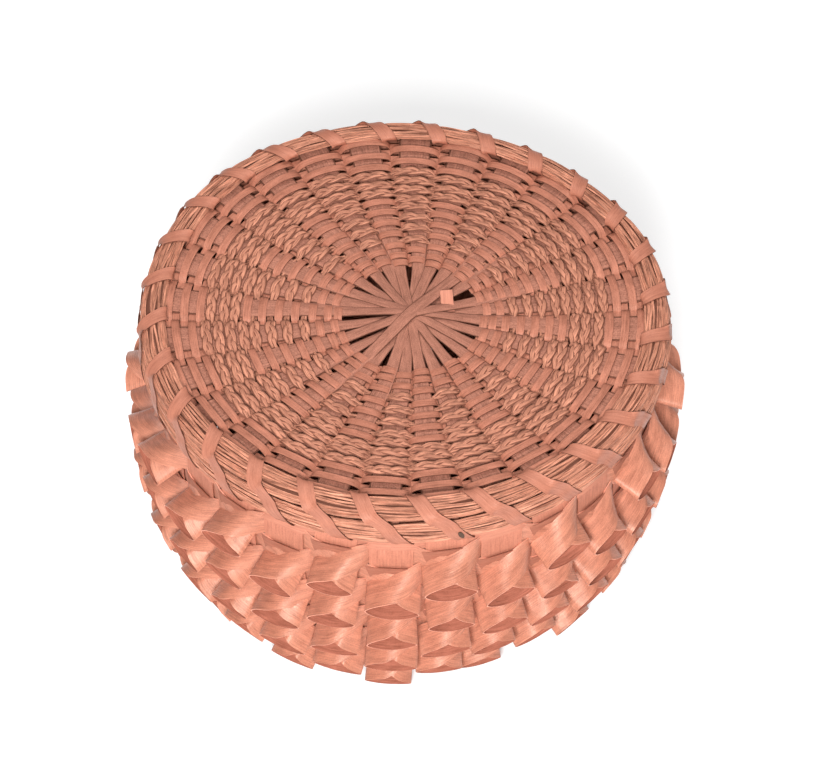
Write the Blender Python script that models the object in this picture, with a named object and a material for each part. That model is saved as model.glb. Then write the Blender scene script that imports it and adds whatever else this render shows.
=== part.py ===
"""Round ash splint basket with curled weavers and a lift-off woven lid. Metres, +Z up.

The origin is at the middle of the flat base. The base and wall grow from fourteen splints that
cross at the centre and turn up as twenty-eight uprights. Eight wide splints go round the wall,
each behind every other upright, and loop out in a curl over the uprights between. The lid is
woven on fourteen splints of its own and drops over the lashed rim of the body.
"""

import math

import bmesh
import bpy
from mathutils import Matrix, Vector

# Counts
SPLINTS = 14
UPRIGHTS = 2 * SPLINTS
CURL_ROWS = 8
BASE_TURNS = 2
HOOP_STEPS = 2 * UPRIGHTS
BUNDLE_SIDES = 8
ODD_LAYER_SHIFT = 5

# Splints that cross at the centre
SPLINT_THICKNESS = 0.0003
BODY_WIDTH_SHARE = 0.75
LID_WIDTH_SHARE = 0.69
LAYER_GAP = 0.00012
BASE_PLANE_SHARE = 0.387
LID_PLANE_SHARE = 0.267
STACK_SHARE = 0.41
FIRST_UPRIGHT_ANGLE = math.radians(-93.3)
FRONT_CROWDING_SHARE = 0.044

# Base and wall, with the slope of each of the wall's bands from upright, lowest first
BASE_RADIUS = 0.0659
ROW_PITCH = 0.0102
HEEL_SLOPES = tuple(math.radians(slope) for slope in (62, 35))
WALL_SLOPES = tuple(math.radians(slope) for slope in (20, 14, 7, 1))
STRIP_GAP = 0.0004
STRIP_THICKNESS = 0.0004
STRIP_CLEARANCE = 0.0003
HEEL_TRIM = 0.0009
CURL_REACH = 0.012
CURL_DROP = 0.007
CURL_HEIGHT = 0.009

# Weavers of the base and the lid
WEAVER_THICKNESS = 0.0003
WEAVER_GAP = 0.00015
WEAVER_ROW_GAP = 0.0007

# Rim of the body, which stands inside the lid
NECK_HEIGHT = 0.0085
RIM_INSET = 0.0049
RIM_HOOP_HEIGHT = 0.0074
RIM_HOOP_THICKNESS = 0.0009
RIM_HOOP_RISE = 0.0007
RIM_HOOP_CLEARANCE = 0.0006
LASH_THICKNESS = 0.0003
LASH_CLEARANCE = 0.0003
RIM_LASH_WIDTH = 0.0038

# Lid, measured from its own lower edge
LID_EDGE_RISE = 0.008
LID_FIRST_ANGLE = math.radians(7.9)
LID_OVERHANG = 0.0001
LID_FOOT = 0.0006
LID_PLANE_HEIGHT = 0.0123
LID_BEND = 0.003
LID_DISH = 0.0045
LID_HOOP_HEIGHT = 0.008
LID_HOOP_THICKNESS = 0.0011
LID_HOOP_CLEARANCE = 0.00035
BUNDLE_THICKNESS = 0.0042
SIDE_BUNDLE_RISE = 0.0003
SIDE_BUNDLE_CLEARANCE = 0.00045
TOP_BUNDLE_WIDTH = 0.010
TOP_BUNDLE_INSET = 0.0012
TOP_BUNDLE_RISE = 0.0024
TOP_BUNDLE_TILT = math.radians(10)
BUNDLE_LASH_CLEARANCE = 0.0006
LID_LASH_WIDTH = 0.005
LID_LASH_HOLE_INSET = 0.0044

# Making of the meshes
WELD_DISTANCE = 0.000001
CREASE_ANGLE = math.radians(50)

# Places along a lid splint, as shares of the lid's wall radius
LID_SPLINT_SHARES = (0.46, 0.68, 0.87)

# Each weaver of the lid: its name, the spokes it passes over, odd or even, and its radius at
# the start and the end of each turn, as shares of the lid's wall radius
LID_WEAVER_SHARES = (
    ("lid_outer_weaver_a", 1, (0.928, 0.866, 0.804)),
    ("lid_outer_weaver_b", 0, (0.897, 0.835)),
    ("lid_braid_weaver_a", 1, (0.743, 0.683, 0.623)),
    ("lid_braid_weaver_b", 0, (0.773, 0.713, 0.653, 0.557, 0.475, 0.392)),
    ("lid_inner_weaver_a", 1, (0.594, 0.517, 0.430, 0.356, 0.306)),
    ("lid_inner_weaver_b", 0, (0.331, 0.281)),
)

# One curl, seen from outside. Across is to the right, in pitches of the uprights. Up is from
# the middle of the loop, in curl heights, and out is in shares of the curl's reach.
CURL_PATH_SHARES = (
    (0.18, 0.66, 0.46),
    (-0.16, 0.49, 0.57),
    (-0.44, 0.06, 0.60),
    (0.00, -0.49, 0.60),
    (0.44, -0.29, 0.60),
    (0.10, 0.07, 0.43),
    (-0.27, 0.72, 0.12),
)
CURL_END_SHARE = 0.62

# Angle of the strip's width at each of those places: straight out at 0, flat on the wall at 90
CURL_TURNS = tuple(math.radians(turn) for turn in (40, 12, 8, 8, 8, 30, 90))
FLAT_TURN = math.radians(90)

# The lid's lashing: angles from straight out, round the top bundle and then the side bundle
TOP_LASH_ANGLES = tuple(math.radians(angle) for angle in (190, 150, 95, 40, 0))
SIDE_LASH_ANGLES = tuple(math.radians(angle) for angle in (30, -30))

# How far round a wrap has leaned at each of its folds, in pitches of the uprights
TOP_LASH_SHARES = (0.0, 0.08, 0.27, 0.46, 0.55)
SIDE_LASH_SHARES = (0.66, 0.82)
INSIDE_LASH_SHARES = (0.90, 0.93, 0.98, 1.00)
RIM_LASH_SHARES = (0.00, 0.45, 0.55, 0.98)

ASH = (0.56, 0.23, 0.15)
ASH_UPRIGHT = (0.45, 0.17, 0.11)
ASH_CURL = (0.68, 0.30, 0.20)
GRASS = (0.50, 0.22, 0.13)


def clear_scene():
    for obj in list(bpy.data.objects):
        bpy.data.objects.remove(obj, do_unlink=True)


def finish(name, colour, roughness):
    material = bpy.data.materials.new(name)
    material.use_nodes = True
    shader = material.node_tree.nodes["Principled BSDF"]
    shader.inputs["Base Color"].default_value = (*colour, 1)
    shader.inputs["Roughness"].default_value = roughness
    shader.inputs["Metallic"].default_value = 0
    return material


def polar(angle, radius, height):
    return Vector((radius * math.cos(angle), radius * math.sin(angle), height))


def even_angle(first, step):
    return first + 2 * math.pi * step / UPRIGHTS


def upright_angle(step):
    """Angle of an upright, or of a place between two. The front ones stand a little closer."""
    angle = even_angle(FIRST_UPRIGHT_ANGLE, step)
    return angle - FRONT_CROWDING_SHARE * math.sin(angle + math.pi / 2)


def spoke_angle(step):
    return even_angle(LID_FIRST_ANGLE, step)


def pitch_at(radius):
    return 2 * math.pi * radius / UPRIGHTS


def add_mesh(name, bm, material, parent):
    mesh = bpy.data.meshes.new(name)
    bm.to_mesh(mesh)
    bm.free()
    mesh.materials.append(material)
    obj = bpy.data.objects.new(name, mesh)
    bpy.context.collection.objects.link(obj)
    obj.parent = parent
    return obj


def strip(name, stations, thickness, material, parent, closed=False):
    """A splint along stations of (middle, half width), with its thickness to both sides."""
    rows = stations + stations[:1] if closed else stations
    bm = bmesh.new()
    bmesh.ops.create_grid(bm, x_segments=1, y_segments=len(rows) - 1, size=1)
    bm.verts.ensure_lookup_table()
    for place, (middle, half) in enumerate(rows):
        bm.verts[2 * place].co = middle - half
        bm.verts[2 * place + 1].co = middle + half
    if closed:
        bmesh.ops.remove_doubles(bm, verts=bm.verts, dist=WELD_DISTANCE)
    obj = add_mesh(name, bm, material, parent)
    wall = obj.modifiers.new("thickness", "SOLIDIFY")
    wall.thickness = thickness
    wall.offset = 0
    return obj


def spun_ring(name, bm, radius, height, material, parent):
    """A closed ring turned from the section outline in bm, which lies in the XY plane."""
    stand = Matrix.Translation((radius, 0, height)) @ Matrix.Rotation(math.pi / 2, 4, "X")
    bmesh.ops.transform(bm, matrix=stand, verts=bm.verts)
    bmesh.ops.spin(
        bm,
        geom=bm.verts[:] + bm.edges[:],
        axis=(0, 0, 1),
        cent=(0, 0, 0),
        angle=2 * math.pi,
        steps=HOOP_STEPS,
        use_merge=True,
    )
    bmesh.ops.recalc_face_normals(bm, faces=bm.faces)
    obj = add_mesh(name, bm, material, parent)
    obj.data.shade_smooth()
    obj.data.set_sharp_from_angle(angle=CREASE_ANGLE)
    return obj


def hoop(name, inner, thickness, low, height, material, parent):
    """A flat ash hoop, bent round and standing on its edge."""
    bm = bmesh.new()
    bmesh.ops.create_grid(bm, x_segments=1, y_segments=1, size=1)
    bmesh.ops.delete(bm, geom=bm.faces[:], context="FACES_ONLY")
    bmesh.ops.scale(bm, vec=(thickness / 2, height / 2, 1), verts=bm.verts)
    return spun_ring(name, bm, inner + thickness / 2, low + height / 2, material, parent)


def bundle(name, half_width, half_height, tilt, radius, height, material, parent):
    """A coil of sweetgrass laid round as one oval ring."""
    bm = bmesh.new()
    bmesh.ops.create_circle(bm, segments=BUNDLE_SIDES, radius=1)
    bmesh.ops.scale(bm, vec=(half_width, half_height, 1), verts=bm.verts)
    bmesh.ops.rotate(bm, matrix=Matrix.Rotation(-tilt, 3, "Z"), verts=bm.verts)
    return spun_ring(name, bm, radius, height, material, parent)


def lashing(name, wrap, angle_of, width, material, parent):
    """A narrow splint wound round a rim once for each gap between uprights. wrap lists the
    (share of the pitch, radius, height) of one turn of it. It folds along the rim's edges, so
    its width always follows the rim."""
    stations = []
    for gap in range(UPRIGHTS):
        for lean, radius, height in wrap:
            angle = angle_of(gap + 0.5 + lean)
            half = polar(angle + math.pi / 2, width / 2, 0)
            stations.append((polar(angle, radius, height), half))
    return strip(name, stations, LASH_THICKNESS, material, parent, closed=True)


def weaver_lift():
    """Height of a weaver's middle over the middle of the splint that it crosses."""
    return SPLINT_THICKNESS / 2 + WEAVER_GAP + WEAVER_THICKNESS / 2


def wall_bands():
    """(slope, length) of each band of the wall, the two of the heel first."""
    heel = [(slope, ROW_PITCH) for slope in HEEL_SLOPES]
    return heel + [(slope, 2 * ROW_PITCH) for slope in WALL_SLOPES]


def top_radius():
    return BASE_RADIUS + sum(length * math.sin(slope) for slope, length in wall_bands())


def rim_radius():
    return top_radius() - RIM_INSET


def lid_wall_radius():
    return top_radius() + LID_OVERHANG


def base_plane():
    """Height of the middle of the base's splints: the weavers under them lie on the ground."""
    return weaver_lift() + WEAVER_THICKNESS / 2


def wall_corners():
    """(radius, height, slope up to the next corner) of the wall's middle line, base edge first."""
    radius = BASE_RADIUS
    height = base_plane()
    corners = []
    for slope, length in wall_bands():
        corners.append((radius, height, slope))
        radius += length * math.sin(slope)
        height += length * math.cos(slope)
    corners.append((radius, height, 0))
    return corners


def row_place(row):
    """(radius, height, slope) at the middle of a row, counted down from the lid. Past the last
    curled row come the plain rows of the heel."""
    corners = wall_corners()
    if row < CURL_ROWS:
        band, half = divmod(CURL_ROWS - 1 - row, 2)
        corner = corners[len(HEEL_SLOPES) + band]
    else:
        half = 0
        corner = corners[len(HEEL_SLOPES) - 1 - (row - CURL_ROWS)]
    radius, height, slope = corner
    climb = (half + 0.5) * ROW_PITCH
    return radius + climb * math.sin(slope), height + climb * math.cos(slope), slope


def on_wall(row, step, up, out, turn, width):
    """The (middle, half width) of a wall strip at a step round the wall, up along its slope and
    out from it, with its width turned from flat by 90 degrees less turn."""
    radius, height, slope = row_place(row)
    angle = upright_angle(step)
    upward = polar(angle, math.sin(slope), math.cos(slope))
    outward = polar(angle, math.cos(slope), -math.sin(slope))
    middle = polar(angle, radius, height) + up * upward + out * outward
    half = math.cos(turn) * outward - math.sin(turn) * upward
    return middle, half * width / 2


def strip_out(row, side):
    """How far out from the wall's line a strip bends where it passes an upright's edge. The flat
    upright's edges stand proud of the round wall."""
    radius, _, slope = row_place(row)
    edge_angle = BODY_WIDTH_SHARE * math.pi / UPRIGHTS
    proud = radius * (1 / math.cos(edge_angle) - 1) * math.cos(slope)
    return proud + side * ((SPLINT_THICKNESS + STRIP_THICKNESS) / 2 + STRIP_CLEARANCE)


def curl_row(row, material, parent):
    """One wide splint round the wall, behind every other upright, with a curl over the rest."""
    width = ROW_PITCH - STRIP_GAP
    behind = strip_out(row, -1)
    stations = []
    for curl in range(SPLINTS):
        step = (row + 1) % 2 - 2 * curl
        stations.append(on_wall(row, step + CURL_END_SHARE, 0, behind, FLAT_TURN, width))
        for (across, up, out), turn in zip(CURL_PATH_SHARES, CURL_TURNS):
            rise = up * CURL_HEIGHT - CURL_DROP
            stations.append(on_wall(row, step + across, rise, out * CURL_REACH, turn, width))
        stations.append(on_wall(row, step - CURL_END_SHARE, 0, behind, FLAT_TURN, width))
    name = f"curl_row_{row + 1}"
    return strip(name, stations, STRIP_THICKNESS, material, parent, closed=True)


def heel_row(place, material, parent):
    """A plain splint woven round the turn from the wall to the base. Its lower edge is trimmed
    so that it stays off the ground."""
    row = CURL_ROWS + place
    width = ROW_PITCH - STRIP_GAP - HEEL_TRIM
    rise = HEEL_TRIM / 2
    edge = 1 - CURL_END_SHARE
    stations = []
    for upright in range(UPRIGHTS):
        out = strip_out(row, 1 if (upright + row) % 2 else -1)
        for step in (upright - edge, upright + edge):
            stations.append(on_wall(row, step, rise, out, FLAT_TURN, width))
    name = f"heel_row_{place + 1}"
    return strip(name, stations, STRIP_THICKNESS, material, parent, closed=True)


def layer_of(splint):
    """Place of a splint in the pile at the centre: the even ones first, the odd ones on top,
    so that splints next to each other are several layers apart."""
    if splint % 2 == 0:
        return splint // 2
    return SPLINTS // 2 + (splint // 2 + ODD_LAYER_SHIFT) % (SPLINTS // 2)


def crossing_splint(name, splint, first, angle_of, share, outline, material, parent):
    """A splint through the centre, with an arm to each side. Outline lists the (radius, height)
    of an arm outside the crossing, and angle_of gives the direction of a step round."""
    plane, floor = outline[0]
    stack = STACK_SHARE * plane
    lift = layer_of(splint) * (SPLINT_THICKNESS + LAYER_GAP)
    arm = [(stack, floor + lift)] + outline
    stations = []
    for side in (0, 1):
        step = splint + side * SPLINTS
        half_arm = []
        for radius, height in arm:
            angle = even_angle(first, step) if radius == stack else angle_of(step)
            width = share * pitch_at(max(radius, plane))
            across = polar(angle + math.pi / 2, width / 2, 0)
            if side:
                across = -across
            half_arm.append((polar(angle, radius, height), across))
        stations += half_arm if side else half_arm[::-1]
    return strip(name, stations, SPLINT_THICKNESS, material, parent)


def weaver(name, parity, turns, angle_of, height_of, share, arched, material, parent):
    """A narrow splint spiralling round over the spokes of its parity and under the others.
    turns lists its radius at the start and end of each turn. An arched one bows over each
    spoke, and a flat one keeps to one height across it."""

    def radius_at(step):
        place = step / UPRIGHTS
        turn = min(max(int(place), 0), len(turns) - 2)
        return turns[turn] + (turns[turn + 1] - turns[turn]) * (place - turn)

    cover = share / (1 - FRONT_CROWDING_SHARE)
    stations = []
    for step in range((len(turns) - 1) * UPRIGHTS + 1):
        side = 1 if (step - parity) % 2 == 0 else -1
        lift = weaver_lift() / (1 - cover) if arched else weaver_lift()
        for shift in (0,) if arched else (-cover / 2, cover / 2):
            radius = radius_at(step + shift)
            turn_gap = abs(radius_at(step - SPLINTS) - radius_at(step + SPLINTS))
            half_width = turn_gap / 4 - WEAVER_ROW_GAP / 2
            angle = angle_of(step + shift)
            middle = polar(angle, radius, height_of(radius) + side * lift)
            stations.append((middle, polar(angle, half_width, 0)))
    return strip(name, stations, WEAVER_THICKNESS, material, parent)


def lid_height(radius):
    """Height of the lid's dished top at a radius, in the lid's own frame."""
    edge = lid_wall_radius() - LID_BEND
    return LID_PLANE_HEIGHT - LID_DISH * (1 - (radius / edge) ** 2)


def lid_splint_outline():
    wall = lid_wall_radius()
    radii = [place * wall for place in (LID_PLANE_SHARE, *LID_SPLINT_SHARES)]
    outline = [(radius, lid_height(radius)) for radius in radii]
    outline.append((wall - LID_BEND, LID_PLANE_HEIGHT))
    outline.append((wall, LID_PLANE_HEIGHT - LID_BEND))
    outline.append((wall, LID_FOOT))
    return outline


def side_bundle_height():
    """The side bundle reaches from the lid's foot to just over the bend of its splints."""
    return LID_PLANE_HEIGHT + SIDE_BUNDLE_RISE - LID_FOOT


def side_bundle_place():
    inner = lid_wall_radius() + SPLINT_THICKNESS / 2 + SIDE_BUNDLE_CLEARANCE
    return inner + BUNDLE_THICKNESS / 2, LID_FOOT + side_bundle_height() / 2


def top_bundle_radius():
    return lid_wall_radius() - TOP_BUNDLE_INSET


def lid_wrap():
    """One turn of the lid's lashing: out over both bundles, under the edge and up inside."""
    grown = BUNDLE_LASH_CLEARANCE
    tilt = TOP_BUNDLE_TILT
    wide = TOP_BUNDLE_WIDTH / 2 + grown
    thick = BUNDLE_THICKNESS / 2 + grown
    wrap = []
    for angle, lean in zip(TOP_LASH_ANGLES, TOP_LASH_SHARES):
        outward = wide * math.cos(angle)
        upward = thick * math.sin(angle)
        radius = top_bundle_radius() + outward * math.cos(tilt) + upward * math.sin(tilt)
        height = LID_PLANE_HEIGHT + TOP_BUNDLE_RISE
        height += upward * math.cos(tilt) - outward * math.sin(tilt)
        wrap.append((lean, radius, height))
    side_radius, side_height = side_bundle_place()
    tall = side_bundle_height() / 2 + grown
    for angle, lean in zip(SIDE_LASH_ANGLES, SIDE_LASH_SHARES):
        radius = side_radius + thick * math.cos(angle)
        wrap.append((lean, radius, side_height + tall * math.sin(angle)))
    below = LID_FOOT - LASH_CLEARANCE - LASH_THICKNESS / 2
    inside = lid_hoop_inner() - LASH_CLEARANCE - LASH_THICKNESS / 2
    hole = lid_wall_radius() - LID_LASH_HOLE_INSET
    folds = [
        (side_radius + grown, below),
        (inside, below),
        (inside, LID_FOOT + LID_HOOP_HEIGHT),
        (hole, lid_height(hole) - LASH_CLEARANCE),
    ]
    return wrap + [(lean, *fold) for lean, fold in zip(INSIDE_LASH_SHARES, folds)]


def lid_hoop_inner():
    outer = lid_wall_radius() - SPLINT_THICKNESS / 2 - LID_HOOP_CLEARANCE
    return outer - LID_HOOP_THICKNESS


def rim_wrap(foot):
    """One turn of the body's lashing, which starts at foot, just under the hoops."""
    hoops = SPLINT_THICKNESS / 2 + RIM_HOOP_CLEARANCE + RIM_HOOP_THICKNESS
    reach = hoops + LASH_CLEARANCE + LASH_THICKNESS / 2
    spare = LASH_CLEARANCE + LASH_THICKNESS / 2
    top = foot + RIM_HOOP_HEIGHT + spare
    bottom = foot - spare
    outer = rim_radius() + reach
    inner = rim_radius() - reach
    folds = [(outer, bottom), (outer, top), (inner, top), (inner, bottom)]
    return [(lean, *fold) for lean, fold in zip(RIM_LASH_SHARES, folds)]


def build_uprights(neck, material, parent):
    """The body's splints, flat under the base and bent up the wall to the top of the rim."""
    outline = [(BASE_PLANE_SHARE * BASE_RADIUS, base_plane())]
    outline += [corner[:2] for corner in wall_corners()]
    rim = rim_radius()
    outline += [(rim, neck), (rim, neck + RIM_HOOP_RISE + RIM_HOOP_HEIGHT)]
    first = FIRST_UPRIGHT_ANGLE
    share = BODY_WIDTH_SHARE
    for splint in range(SPLINTS):
        name = f"body_splint_{splint + 1:02d}"
        crossing_splint(name, splint, first, upright_angle, share, outline, material, parent)


def build_base(material, parent):
    """Two weavers that spiral under the flat base, each under the splints the other passes over."""
    pitch = BASE_RADIUS * (1 - BASE_PLANE_SHARE) / (2 * BASE_TURNS + 2)
    share = BODY_WIDTH_SHARE
    for parity, name in enumerate(("base_weaver_a", "base_weaver_b")):
        start = BASE_RADIUS - (parity + 0.5) * pitch
        turns = [start - 2 * pitch * turn for turn in range(BASE_TURNS + 1)]
        level = lambda _: base_plane()
        weaver(name, parity, turns, upright_angle, level, share, False, material, parent)


def build_rim(foot, ash, lash, parent):
    """Two hoops that hold the uprights between them, and the lashing that binds the three."""
    away = SPLINT_THICKNESS / 2 + RIM_HOOP_CLEARANCE
    thick = RIM_HOOP_THICKNESS
    tall = RIM_HOOP_HEIGHT
    rim = rim_radius()
    hoop("rim_outer_hoop", rim + away, thick, foot, tall, ash, parent)
    hoop("rim_inner_hoop", rim - away - thick, thick, foot, tall, ash, parent)
    lashing("rim_lashing", rim_wrap(foot), upright_angle, RIM_LASH_WIDTH, lash, parent)


def build_body(parent):
    upright = finish("upright_ash", ASH_UPRIGHT, 0.6)
    curl = finish("curl_ash", ASH_CURL, 0.45)
    plain = finish("plain_ash", ASH, 0.55)
    neck = wall_corners()[-1][1] + NECK_HEIGHT
    build_uprights(neck, upright, parent)
    build_base(plain, parent)
    for place in range(len(HEEL_SLOPES)):
        heel_row(place, plain, parent)
    for row in range(CURL_ROWS):
        curl_row(row, curl, parent)
    build_rim(neck + RIM_HOOP_RISE, plain, curl, parent)


def build_lid_top(splint_ash, weaver_ash, grass, parent):
    """The lid's own crossing splints, bent down at its edge, and the weavers laid in them."""
    outline = lid_splint_outline()
    first = LID_FIRST_ANGLE
    share = LID_WIDTH_SHARE
    for splint in range(SPLINTS):
        name = f"lid_splint_{splint + 1:02d}"
        crossing_splint(name, splint, first, spoke_angle, share, outline, splint_ash, parent)
    for name, parity, shares in LID_WEAVER_SHARES:
        turns = [place * lid_wall_radius() for place in shares]
        material = grass if "braid" in name else weaver_ash
        weaver(name, parity, turns, spoke_angle, lid_height, share, True, material, parent)


def build_lid_edge(ash, grass, parent):
    """The hoop inside the lid's edge and the two bundles of sweetgrass outside it."""
    hoop_inner = lid_hoop_inner()
    hoop("lid_inner_hoop", hoop_inner, LID_HOOP_THICKNESS, LID_FOOT, LID_HOOP_HEIGHT, ash, parent)
    half = BUNDLE_THICKNESS / 2
    tall = side_bundle_height() / 2
    radius, height = side_bundle_place()
    bundle("lid_side_bundle", half, tall, 0, radius, height, grass, parent)
    wide = TOP_BUNDLE_WIDTH / 2
    tilt = TOP_BUNDLE_TILT
    height = LID_PLANE_HEIGHT + TOP_BUNDLE_RISE
    bundle("lid_top_bundle", wide, half, tilt, top_bundle_radius(), height, grass, parent)


def build_lid(parent):
    splint_ash = finish("lid_splint_ash", ASH_UPRIGHT, 0.6)
    weaver_ash = finish("lid_weaver_ash", ASH, 0.5)
    grass = finish("sweetgrass", GRASS, 0.7)
    lash = finish("lid_lashing_ash", ASH_CURL, 0.5)
    build_lid_top(splint_ash, weaver_ash, grass, parent)
    build_lid_edge(weaver_ash, grass, parent)
    lashing("lid_lashing", lid_wrap(), spoke_angle, LID_LASH_WIDTH, lash, parent)


def main():
    clear_scene()
    body = bpy.data.objects.new("body_place", None)
    bpy.context.collection.objects.link(body)
    build_body(body)
    lid = bpy.data.objects.new("lid_place", None)
    lid.location.z = wall_corners()[-1][1] + LID_EDGE_RISE
    bpy.context.collection.objects.link(lid)
    build_lid(lid)


main()
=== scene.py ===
import math
import random

import bmesh
import bpy
import numpy as np
from mathutils import Matrix, Vector


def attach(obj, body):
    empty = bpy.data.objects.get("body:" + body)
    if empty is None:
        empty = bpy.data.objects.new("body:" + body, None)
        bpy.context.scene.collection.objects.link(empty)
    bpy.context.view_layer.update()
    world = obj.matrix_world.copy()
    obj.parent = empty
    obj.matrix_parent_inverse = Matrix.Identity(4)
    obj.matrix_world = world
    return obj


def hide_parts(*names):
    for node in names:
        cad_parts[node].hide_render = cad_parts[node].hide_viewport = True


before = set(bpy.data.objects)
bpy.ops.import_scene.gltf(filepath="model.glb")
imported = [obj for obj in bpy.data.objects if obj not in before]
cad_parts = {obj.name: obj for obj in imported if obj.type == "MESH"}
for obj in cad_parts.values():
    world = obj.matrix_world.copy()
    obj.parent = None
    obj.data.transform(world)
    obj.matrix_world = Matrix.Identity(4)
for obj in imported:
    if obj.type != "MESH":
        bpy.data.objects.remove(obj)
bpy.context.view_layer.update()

# Uprights. Fourteen thin splints, shaved from an ash log and dyed salmon pink, lie crossed in the
# middle of the base and are bent up all round as twenty-eight uprights, which end in the rim. Ash
# splits along its growth rings, so each splint has long straight fibres and a dull satin face.
SPLINTS = 14
UPRIGHTS = 2 * SPLINTS
TAU = 2 * math.pi
FIRST_UPRIGHT = math.radians(-93.3)
FRONT_CROWDING = 0.044
UPRIGHT_SHARE = 0.75
UPRIGHT_THICKNESS = 0.0003
UPRIGHT_CUP = 0.0003
UPRIGHT_THINNING = 4
PILE_RADIUS = 0.0105
PLANE_RADIUS = 0.0255
PILE_FLAT = 0.003
PILE_STEP = 0.00036
PILE_SHIFT = 5
MISS_FADE = 1.2
ASIDE_FADE = 2.4
BASE_HEIGHT = 0.0006
ROW_PITCH = 0.0102
BASE_RADIUS = 0.0659
WALL_SLOPES = (62, 35, 20, 20, 14, 14, 7, 7, 1, 1)
NECK_RISE = 0.0085
NECK_INSET = 0.0049
RIM_RISE = 0.0081
EASE_STEP = 0.0005
BEND_LENGTH = 0.009
WARP = (0.0034, 0.0016, 0)
WARP_START = 0.025
WARP_LENGTH = 0.07
WARP_LOW = 0.075
WARP_RISE = 0.02
SEAM_DISTANCE = 0.000002
WOOD_REACH = 20
UNDERSIDE_SHIFT = 0.5
STREAKS_ALONG = 80
MOTTLE_ALONG = 170
MOTTLE_ACROSS = 420
GROWTH_SCALE = 0.23
SPECKLE_SCALE = 1700
SHEEN = 0.35
SHEEN_TINT = (1, 0.82, 0.7, 1)
rng = random.Random(7)


def maths(tree, operation, first, second, clamp=False):
    """A Math node's output. Either input is a socket or a plain number."""
    node = tree.nodes.new("ShaderNodeMath")
    node.operation = operation
    node.use_clamp = clamp
    for place, value in enumerate((first, second)):
        if isinstance(value, bpy.types.NodeSocket):
            tree.links.new(value, node.inputs[place])
        else:
            node.inputs[place].default_value = value
    return node.outputs[0]


def make_fibre_group():
    """Shader group for split wood: reads the splint's own UV map, laid in metres with U along the
    fibres, and gives a colour, a roughness and a height."""
    tree = bpy.data.node_groups.new("splint_fibres", "ShaderNodeTree")
    for name, kind in (
        ("Light Colour", "NodeSocketColor"),
        ("Dark Colour", "NodeSocketColor"),
        ("Fibre Width", "NodeSocketFloat"),
        ("Fibre Strength", "NodeSocketFloat"),
        ("Blotch Strength", "NodeSocketFloat"),
        ("Speckle Strength", "NodeSocketFloat"),
        ("Smooth Roughness", "NodeSocketFloat"),
        ("Rough Roughness", "NodeSocketFloat"),
    ):
        tree.interface.new_socket(name=name, in_out="INPUT", socket_type=kind)
    for name, kind in (
        ("Colour", "NodeSocketColor"),
        ("Roughness", "NodeSocketFloat"),
        ("Height", "NodeSocketFloat"),
    ):
        tree.interface.new_socket(name=name, in_out="OUTPUT", socket_type=kind)
    given = tree.nodes.new("NodeGroupInput")
    result = tree.nodes.new("NodeGroupOutput")
    link = tree.links.new

    wood = tree.nodes.new("ShaderNodeUVMap")
    wood.uv_map = "laid"
    split = tree.nodes.new("ShaderNodeSeparateXYZ")
    link(wood.outputs["UV"], split.inputs["Vector"])
    thread = tree.nodes.new("ShaderNodeCombineXYZ")
    link(maths(tree, "MULTIPLY", split.outputs["X"], STREAKS_ALONG), thread.inputs["X"])
    across = maths(tree, "DIVIDE", split.outputs["Y"], given.outputs["Fibre Width"])
    link(across, thread.inputs["Y"])
    mottle = tree.nodes.new("ShaderNodeCombineXYZ")
    link(maths(tree, "MULTIPLY", split.outputs["X"], MOTTLE_ALONG), mottle.inputs["X"])
    link(maths(tree, "MULTIPLY", split.outputs["Y"], MOTTLE_ACROSS), mottle.inputs["Y"])

    # Fibres, growth rings, blotches and speckles swing the level between dark and light. Each is a
    # noise of a place, scale, detail and roughness, with the strength that it follows and a gain.
    # Its cells are one fibre wide, or are counted in a metre of the wood.
    level = 0.5
    for place, scale, detail, roughness, strength, gain in (
        (thread.outputs["Vector"], 1, 3, 0.6, "Fibre Strength", 2.6),
        (thread.outputs["Vector"], GROWTH_SCALE, 2, 0.5, "Fibre Strength", 0.4),
        (mottle.outputs["Vector"], 1, 3, 0.6, "Blotch Strength", 3),
        (wood.outputs["UV"], SPECKLE_SCALE, 2, 0.7, "Speckle Strength", 3),
    ):
        noise = tree.nodes.new("ShaderNodeTexNoise")
        link(place, noise.inputs["Vector"])
        noise.inputs["Scale"].default_value = scale
        noise.inputs["Detail"].default_value = detail
        noise.inputs["Roughness"].default_value = roughness
        swing = maths(tree, "SUBTRACT", noise.outputs["Fac"], 0.5)
        swing = maths(tree, "MULTIPLY", swing, gain)
        swing = maths(tree, "MULTIPLY", swing, given.outputs[strength])
        level = maths(tree, "ADD", swing, level)
    level = maths(tree, "ADD", level, 0, clamp=True)

    mix = tree.nodes.new("ShaderNodeMix")
    mix.data_type = "RGBA"
    link(level, mix.inputs[0])
    link(given.outputs["Dark Colour"], mix.inputs[6])
    link(given.outputs["Light Colour"], mix.inputs[7])
    link(mix.outputs[2], result.inputs["Colour"])
    gloss = tree.nodes.new("ShaderNodeMix")
    link(level, gloss.inputs[0])
    link(given.outputs["Rough Roughness"], gloss.inputs[2])
    link(given.outputs["Smooth Roughness"], gloss.inputs[3])
    link(gloss.outputs[0], result.inputs["Roughness"])
    link(level, result.inputs["Height"])
    return tree


splint_fibres = make_fibre_group()


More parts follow.
